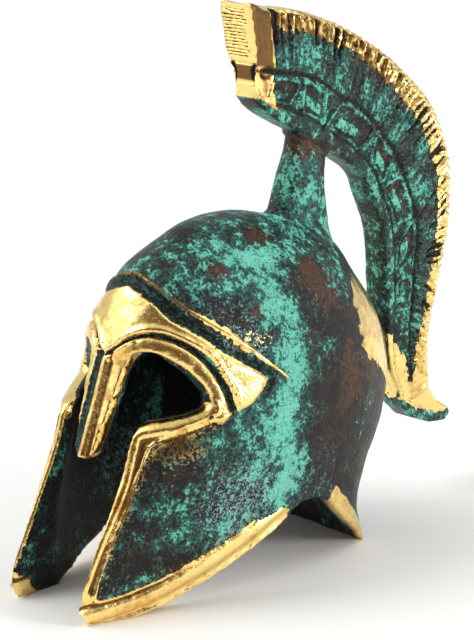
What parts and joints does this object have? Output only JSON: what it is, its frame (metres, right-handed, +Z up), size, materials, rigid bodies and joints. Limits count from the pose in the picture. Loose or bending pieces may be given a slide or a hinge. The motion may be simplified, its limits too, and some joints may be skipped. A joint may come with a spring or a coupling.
{
  "type": "corinthian helmet",
  "caption": "Small cast bronze Corinthian helmet with a tall curved crest, green patina and polished golden edges.",
  "frame": {"origin": "the middle of the outline seen from above, on the surface that the helmet rests on", "axes": "+Z up, the face looks along -Y, the crest's tail hangs at +Y, and the mirror plane is X = 0"},
  "size_m": [0.0432, 0.109, 0.1041],
  "materials": {
    "shell_bronze": "patinated",
    "crest_bronze": "satin"
  },
  "bodies": {
    "root": {"helmet": "shell_bronze", "crest": "crest_bronze"}
  },
  "joints": []
}
